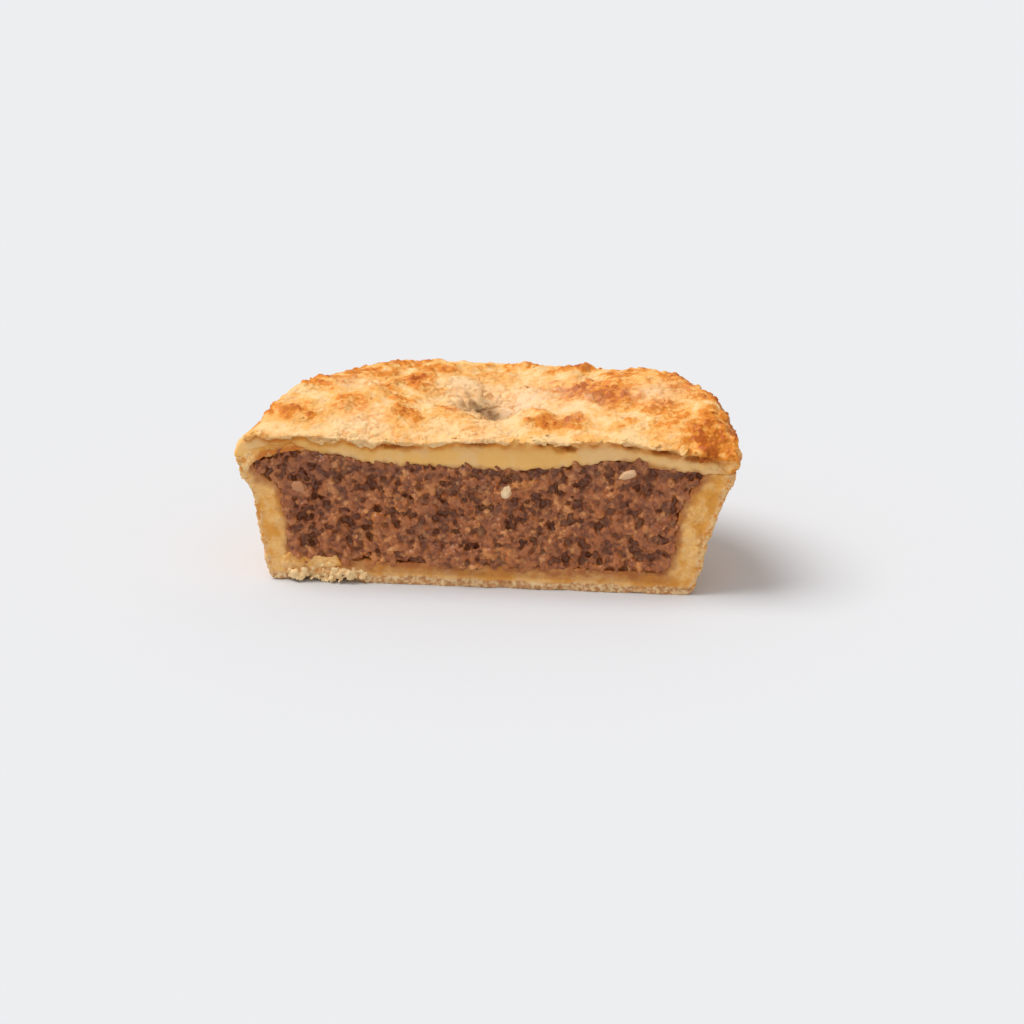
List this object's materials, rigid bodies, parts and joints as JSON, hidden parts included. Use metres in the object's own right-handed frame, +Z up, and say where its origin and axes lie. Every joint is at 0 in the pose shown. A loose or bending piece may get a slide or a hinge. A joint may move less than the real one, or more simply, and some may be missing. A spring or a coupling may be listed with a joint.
{
  "type": "meat pie half",
  "caption": "Half of a round baked meat pie resting on its base, with a golden flaky lid, a steam vent and the minced filling open at the cut.",
  "frame": {"origin": "on the table plane, under the middle of the half pie's box: half way across, and half way from the cut face to the round back", "axes": "+X along the cut face towards its right end, +Y from the cut face towards the round back, +Z up out of the lid"},
  "size_m": [0.131, 0.0668, 0.0472],
  "materials": {
    "pale_pastry": "matte",
    "baked_pastry": "matte",
    "minced_meat": "satin"
  },
  "bodies": {
    "root": {"pastry_case": "pale_pastry", "pastry_lid": "baked_pastry", "meat_filling": "minced_meat"}
  },
  "joints": []
}
